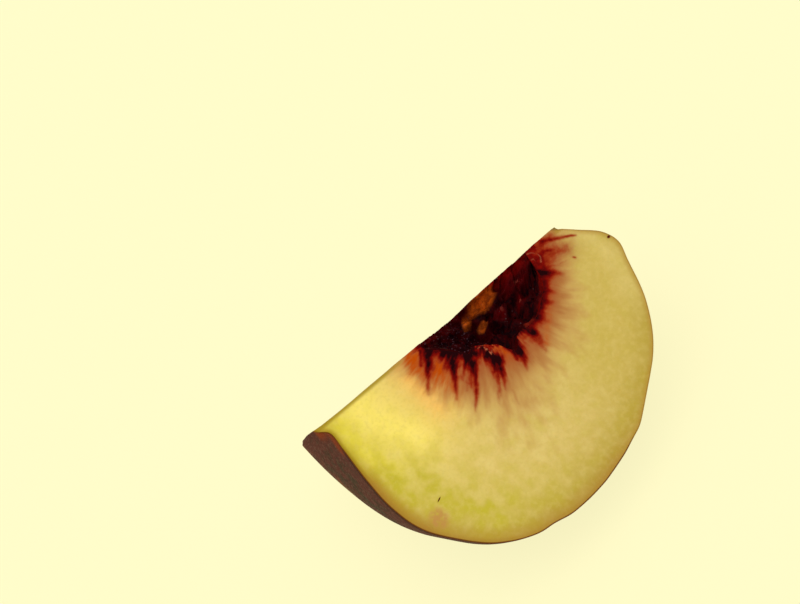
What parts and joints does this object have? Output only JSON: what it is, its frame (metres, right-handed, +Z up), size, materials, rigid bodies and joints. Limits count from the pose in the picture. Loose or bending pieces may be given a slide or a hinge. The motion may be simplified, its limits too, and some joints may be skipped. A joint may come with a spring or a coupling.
{
  "type": "peach wedge",
  "caption": "Quarter wedge of ripe peach with its stone taken out: flat cut faces that meet at the core, a rugged stone hollow and a rounded fuzzy skin side.",
  "frame": {"origin": "middle of the bounding box's base, on the surface that the wedge lies on", "axes": "+X along the core towards the stem end, which dips by 8 degrees; +Z up; the cut face that the picture shows looks to -Y and up"},
  "size_m": [0.0622, 0.055, 0.0405],
  "materials": {
    "flesh": "moist cut flesh, yellow to tan, dark red round the stone hollow; the rounded side is matt fuzzy skin, maroon with yellow"
  },
  "bodies": {
    "root": {"peach_wedge": "flesh"}
  },
  "joints": []
}
